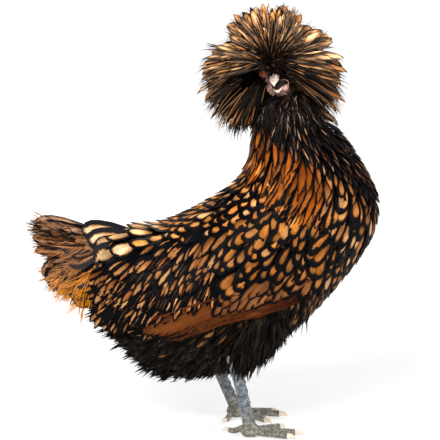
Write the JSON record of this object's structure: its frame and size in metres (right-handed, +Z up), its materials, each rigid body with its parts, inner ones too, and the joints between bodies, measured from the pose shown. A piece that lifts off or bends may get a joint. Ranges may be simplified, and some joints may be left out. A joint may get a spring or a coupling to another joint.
{
  "type": "polish crested hen, standing still model",
  "caption": "Life-size still model of a standing polish crested hen with a full globe crest, beard, laced plumage, folded wings, fanned tail and flat-soled feet.",
  "frame": {"origin": "on the floor under the centre of the hen's bounding box", "axes": "+Z up, +X the way the body faces, +Y the hen's left"},
  "size_m": [0.374, 0.164, 0.4475],
  "materials": {
    "gold_feather": "soft, golden feathers with black edges",
    "rust_feather": "soft, rust-brown flight feathers",
    "black_feather": "soft, black down",
    "skin": "bare skin",
    "beak_horn": "smooth horn",
    "leg_scale": "raised scales",
    "claw_horn": "smooth horn",
    "eye": "wet gloss"
  },
  "bodies": {
    "root": {"torso": "gold_feather", "neck": "gold_feather", "head": "skin", "eye_right": "eye", "eye_left": "eye", "beak_upper": "beak_horn", "beak_lower": "beak_horn", "crest": "gold_feather", "beard": "black_feather", "tail": "rust_feather", "wing_right": "gold_feather", "thigh_right": "black_feather", "shank_right": "leg_scale", "foot_right": "leg_scale", "claw_right_inner": "claw_horn", "claw_right_middle": "claw_horn", "claw_right_outer": "claw_horn", "claw_right_hind": "claw_horn", "wing_left": "gold_feather", "thigh_left": "black_feather", "shank_left": "leg_scale", "foot_left": "leg_scale", "claw_left_inner": "claw_horn", "claw_left_middle": "claw_horn", "claw_left_outer": "claw_horn", "claw_left_hind": "claw_horn"}
  },
  "joints": []
}
